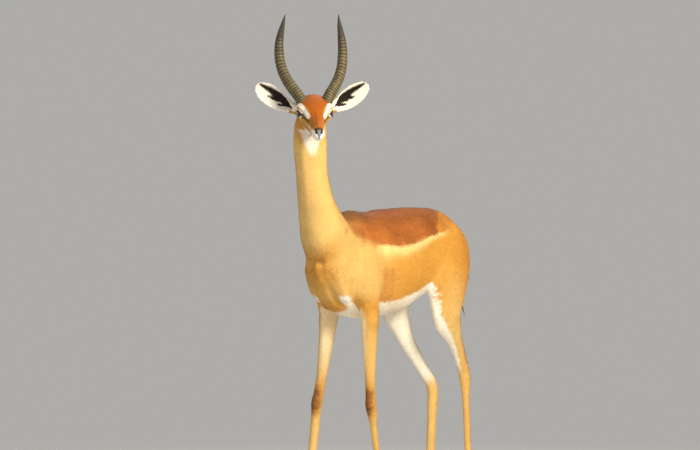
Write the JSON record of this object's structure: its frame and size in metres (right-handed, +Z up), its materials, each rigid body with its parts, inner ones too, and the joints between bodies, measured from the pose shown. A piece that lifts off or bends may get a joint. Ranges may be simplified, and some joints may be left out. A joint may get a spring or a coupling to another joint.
{
  "type": "gerenuk",
  "caption": "Still life-size gerenuk ram standing on its hooves, long neck up and head turned to its left, with ringed horns and spread ears.",
  "frame": {"origin": "on the ground under the middle of the bounding box", "axes": "+Z up; the body faces -Y and its left side is +X"},
  "size_m": [0.291, 0.9596, 1.5569],
  "materials": {
    "hide": "short flat coat, tawny with a rufous saddle and white underparts",
    "ear": "short fur, white inside with dark stripes, tawny behind",
    "horn": "grey-brown ringed horn, satin",
    "hoof": "black-brown hoof horn, satin",
    "eye": "dark brown eye, wet gloss"
  },
  "bodies": {
    "root": {"torso": "hide", "neck": "hide", "head": "hide", "tail": "hide", "leg_front_right": "hide", "leg_front_left": "hide", "leg_hind_right": "hide", "leg_hind_left": "hide", "ear_right": "ear", "ear_left": "ear", "eye_right": "eye", "eye_left": "eye", "horn_right": "horn", "horn_left": "horn", "hoof_front_right_right": "hoof", "hoof_front_right_left": "hoof", "hoof_front_left_right": "hoof", "hoof_front_left_left": "hoof", "hoof_hind_right_right": "hoof", "hoof_hind_right_left": "hoof", "hoof_hind_left_right": "hoof", "hoof_hind_left_left": "hoof", "dewclaw_front_right_right": "hoof", "dewclaw_front_right_left": "hoof", "dewclaw_front_left_right": "hoof", "dewclaw_front_left_left": "hoof", "dewclaw_hind_right_right": "hoof", "dewclaw_hind_right_left": "hoof", "dewclaw_hind_left_right": "hoof", "dewclaw_hind_left_left": "hoof"}
  },
  "joints": []
}
